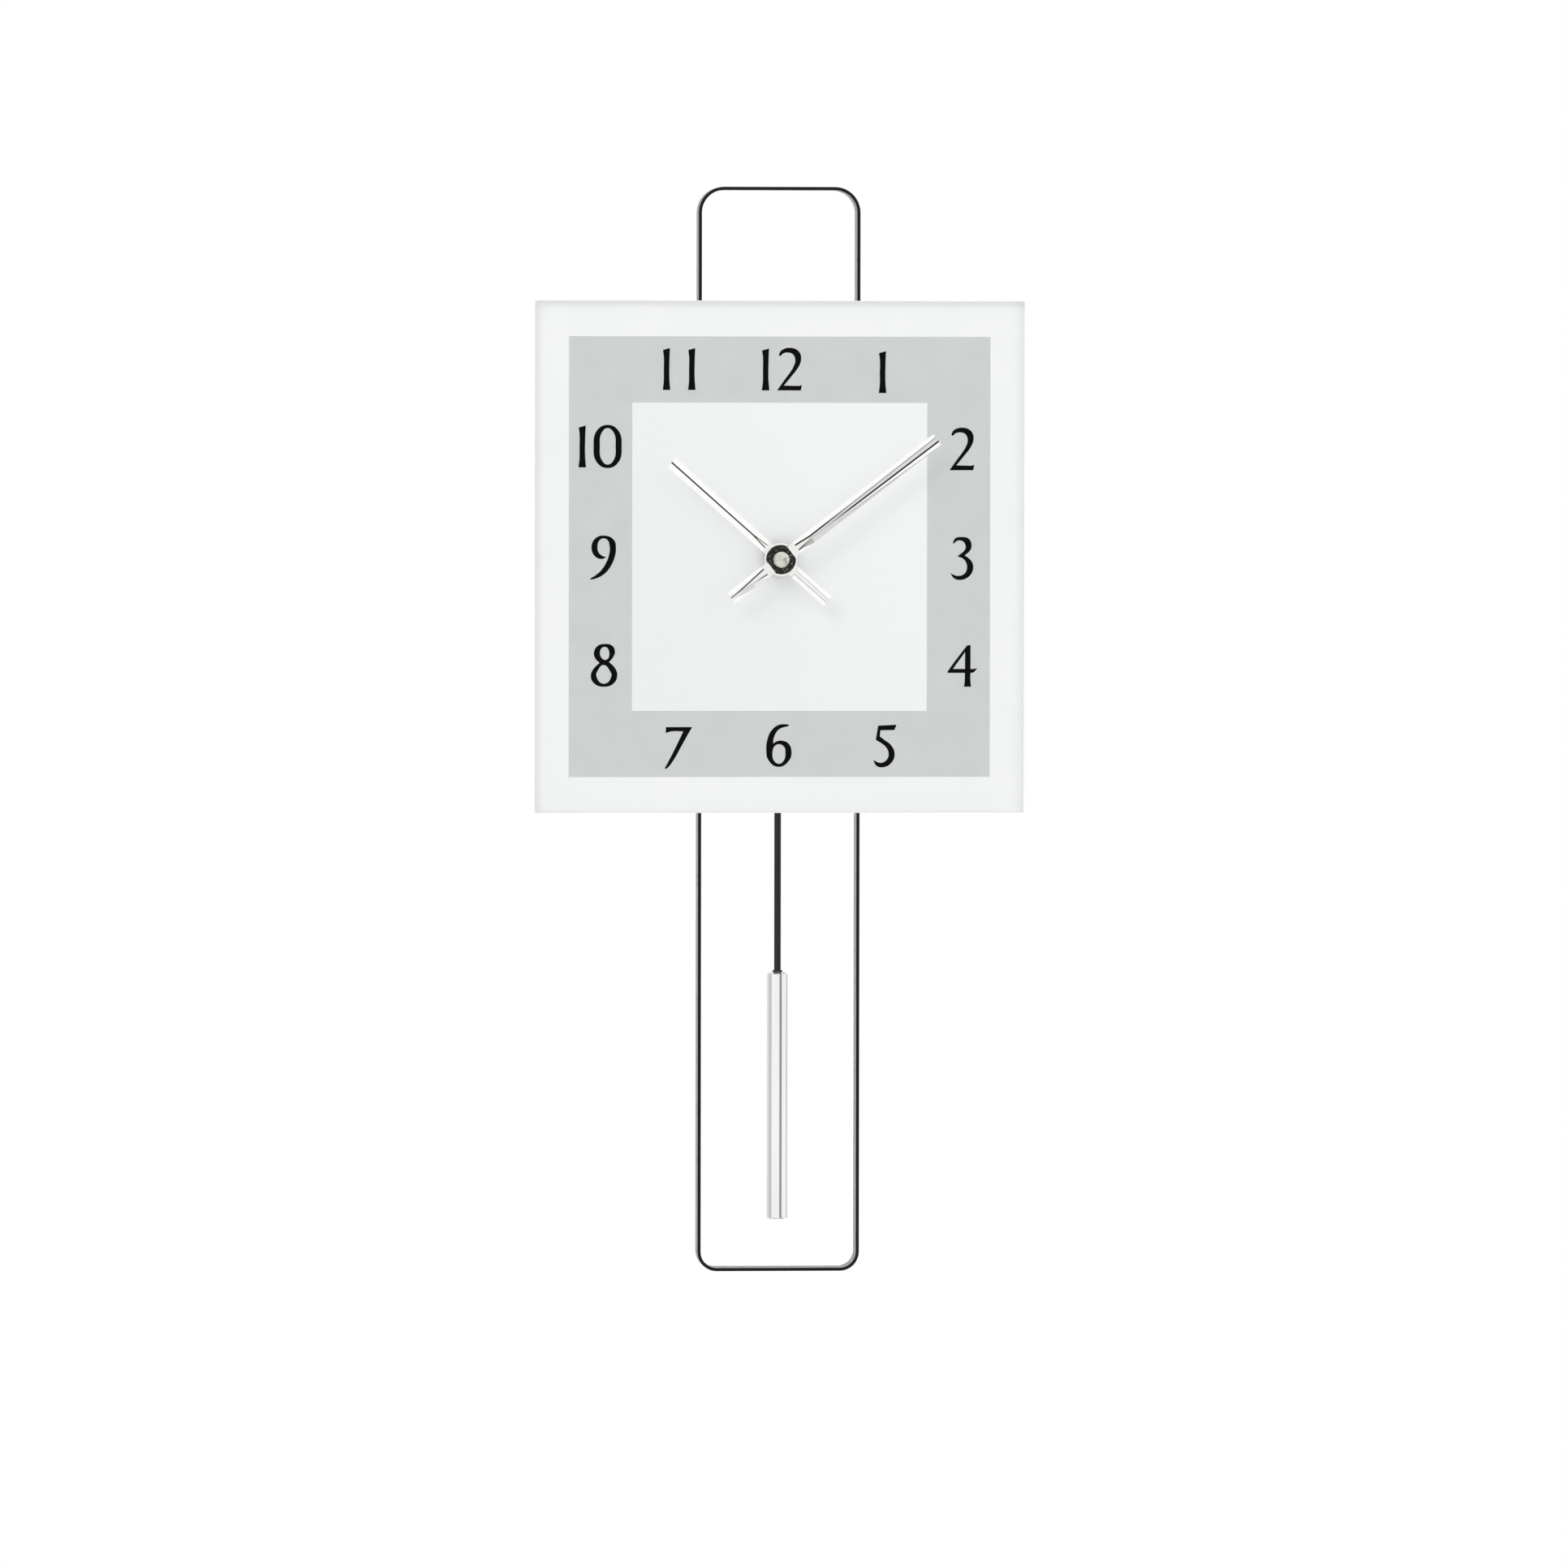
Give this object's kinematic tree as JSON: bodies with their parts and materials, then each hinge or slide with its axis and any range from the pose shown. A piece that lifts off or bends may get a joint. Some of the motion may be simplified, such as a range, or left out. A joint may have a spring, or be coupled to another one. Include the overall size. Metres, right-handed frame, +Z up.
{
  "type": "radio-controlled wall clock",
  "caption": "Wall clock with a rectangular glass dial on a tall bent steel loop, stick hands, and a pendulum with a cylindrical bob that swings inside the loop.",
  "frame": {"origin": "centre of the wall screw's keyhole, on the wall plane", "axes": "+Z up, +Y into the wall, the dial faces -Y, +X to the right"},
  "size_m": [0.23, 0.0543, 0.5087],
  "materials": {
    "glass": "clear float glass, ground and polished bevels",
    "pale_sheet": "satin pale grey-white",
    "grey_foil": "satin grey foil",
    "foam_tape": "matte foam",
    "black_steel": "satin black with greyer flanks",
    "zinc_steel": "zinc plated",
    "dark_rivet": "satin black",
    "screw_steel": "bright zinc",
    "turned_aluminium": "turned",
    "black_rubber": "matte",
    "grey_plastic": "moulded, fine texture",
    "dark_plastic": "moulded, fine texture",
    "brass": "turned",
    "ivory_plastic": "moulded acetal",
    "ferrite": "ground ferrite",
    "stator_steel": "stamped",
    "copper_winding": "enamelled wire",
    "white_plastic": "moulded",
    "board_green": "solder mask",
    "black_plastic": "moulded",
    "switch_metal": "stamped",
    "battery_sleeve": "printed sleeve, bare of words",
    "contact_steel": "nickel plated",
    "black_rod": "satin black",
    "polished_chrome": "mirror polish",
    "polished_hand": "mirror polish",
    "black_collar": "gloss black",
    "polished_cap": "polished dome"
  },
  "bodies": {
    "frame": {"dial_glass": "glass", "dial_backing": "pale_sheet", "dial_band": "grey_foil", "adhesive_pads": "foam_tape", "frame_strip": "black_steel", "carrier_plate": "zinc_steel", "frame_rivets": "dark_rivet", "hanger_bracket": "zinc_steel", "hanger_screws": "screw_steel", "wall_spacers": "turned_aluminium", "spacer_bumpers": "black_rubber", "case_gasket": "black_rubber", "movement_front_case": "grey_plastic", "movement_rear_cover": "dark_plastic", "case_screws": "screw_steel", "centre_bush": "brass", "nut_washer": "screw_steel", "bush_nut": "screw_steel", "motor_stator": "stator_steel", "motor_coil": "copper_winding", "train_bridge": "white_plastic", "circuit_board": "board_green", "receiver_chip": "black_plastic", "tact_switches": "switch_metal", "antenna_rod": "ferrite", "antenna_coil": "copper_winding", "battery": "battery_sleeve", "battery_contact_plus": "contact_steel", "battery_contact_minus": "contact_steel", "drive_coil": "copper_winding", "lever_axle": "screw_steel"},
    "hour": {"hour_wheel": "ivory_plastic", "hour_hand": "polished_hand"},
    "minute": {"minute_arbor": "brass", "minute_hand": "polished_hand", "minute_collet": "black_collar", "hand_cap": "polished_cap"},
    "motion": {"motion_wheel": "ivory_plastic"},
    "intermediate": {"intermediate_wheel": "ivory_plastic"},
    "rotor": {"motor_rotor": "ivory_plastic", "rotor_magnet": "ferrite"},
    "pendulum": {"pendulum_lever": "white_plastic", "lever_magnet": "ferrite", "rod_hook": "screw_steel", "pendulum_rod": "black_rod", "bob_ferrule": "black_plastic", "pendulum_bob": "polished_chrome"},
    "button_set": {"set_button": "white_plastic"},
    "button_signal": {"signal_button": "white_plastic"},
    "button_reset": {"reset_button": "white_plastic"}
  },
  "joints": [
    {"name": "minute_spin", "type": "hinge", "parent": "frame", "child": "minute", "pos_m": [0, 0, -0.07], "axis": [0, 1, 0], "continuous": true},
    {"name": "hour_spin", "type": "hinge", "parent": "frame", "child": "hour", "pos_m": [0, 0, -0.07], "axis": [0, 1, 0], "continuous": true},
    {"name": "motion_spin", "type": "hinge", "parent": "frame", "child": "motion", "pos_m": [0.01128, 0, -0.0659], "axis": [0, 1, 0], "continuous": true},
    {"name": "intermediate_spin", "type": "hinge", "parent": "frame", "child": "intermediate", "pos_m": [-0.0144, 0, -0.07], "axis": [0, 1, 0], "continuous": true},
    {"name": "rotor_spin", "type": "hinge", "parent": "frame", "child": "rotor", "pos_m": [-0.0144, 0, -0.0836], "axis": [0, 1, 0], "continuous": true},
    {"name": "pendulum_swing", "type": "hinge", "parent": "frame", "child": "pendulum", "pos_m": [0, 0, -0.09], "axis": [0, 1, 0], "range_deg": [-5, 5]},
    {"name": "set_press", "type": "slide", "parent": "frame", "child": "button_set", "axis": [0, -1, 0], "range_m": [0, 0.0008], "stiffness_N_per_m": 1000, "springref_m": -0.0004},
    {"name": "signal_press", "type": "slide", "parent": "frame", "child": "button_signal", "axis": [0, -1, 0], "range_m": [0, 0.0008], "stiffness_N_per_m": 1000, "springref_m": -0.0004},
    {"name": "reset_press", "type": "slide", "parent": "frame", "child": "button_reset", "axis": [0, -1, 0], "range_m": [0, 0.0008], "stiffness_N_per_m": 1000, "springref_m": -0.0004}
  ],
  "couplings": [
    {"joint": "hour_spin", "follows": "minute_spin", "ratio": 0.083333},
    {"joint": "motion_spin", "follows": "minute_spin", "ratio": -0.33333},
    {"joint": "intermediate_spin", "follows": "minute_spin", "ratio": -8},
    {"joint": "rotor_spin", "follows": "minute_spin", "ratio": 60}
  ]
}
